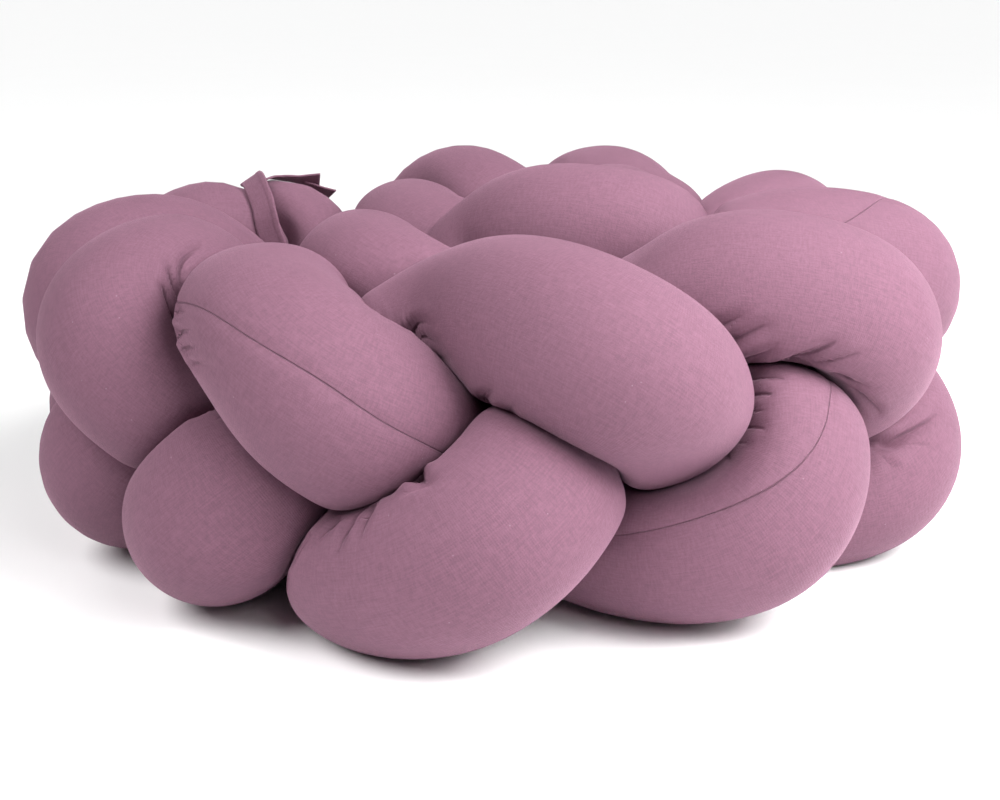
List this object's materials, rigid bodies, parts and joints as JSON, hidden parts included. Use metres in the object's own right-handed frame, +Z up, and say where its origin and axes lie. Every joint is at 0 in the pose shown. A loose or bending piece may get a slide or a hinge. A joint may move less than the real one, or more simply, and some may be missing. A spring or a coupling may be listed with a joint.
{
  "type": "braided crib bumper",
  "caption": "Braided crib bumper: stuffed fabric tubes plaited into a thick soft band, curled on edge into a round with its ribbon tie; pads a cot's rails or lies on the floor as a cushion.",
  "frame": {"origin": "bottom centre of the outer bounds, on the floor that the round stands on", "axes": "+Z up, out of the floor; -Y towards the picture's viewer; +X to the picture's right"},
  "size_m": [0.5861, 0.6123, 0.2308],
  "materials": {
    "cotton": "matte plain weave",
    "ribbon": "matte plain weave, hemmed"
  },
  "bodies": {
    "root": {"tube_1": "cotton", "tube_2": "cotton", "tube_3": "cotton", "tie_long": "ribbon", "tie_short": "ribbon"}
  },
  "joints": []
}
